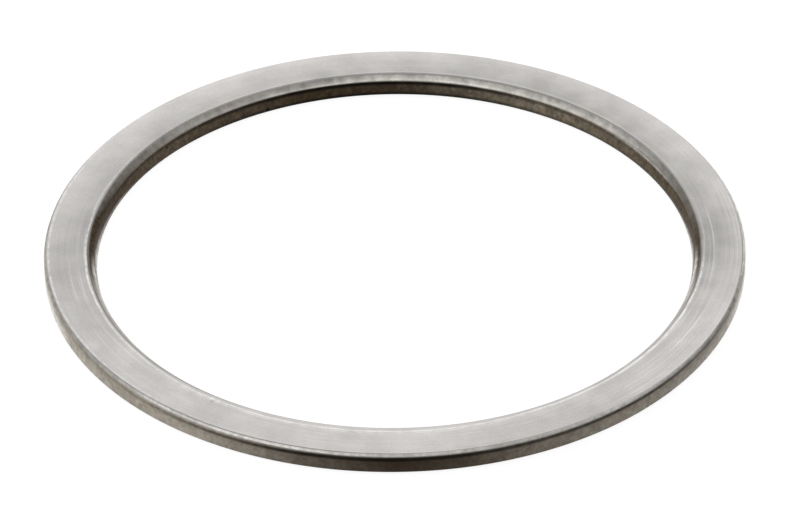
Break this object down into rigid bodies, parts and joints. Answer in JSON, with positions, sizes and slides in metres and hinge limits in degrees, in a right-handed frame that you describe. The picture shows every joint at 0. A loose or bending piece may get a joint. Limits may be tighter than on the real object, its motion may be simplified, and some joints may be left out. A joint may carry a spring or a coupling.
{
  "type": "sealing ring",
  "caption": "Flat metal sealing ring with a rectangular section, a bevelled and tapered bore and a chamfered rim.",
  "frame": {"origin": "on the ring's axis, in the plane of its lower face", "axes": "+Z along the ring's axis, from the lower face to the bevelled upper face"},
  "size_m": [0.08, 0.08, 0.0025],
  "materials": {
    "ring_metal": "turned, with fine concentric marks on the face and darker walls"
  },
  "bodies": {
    "root": {"sealing_ring": "ring_metal"}
  },
  "joints": []
}
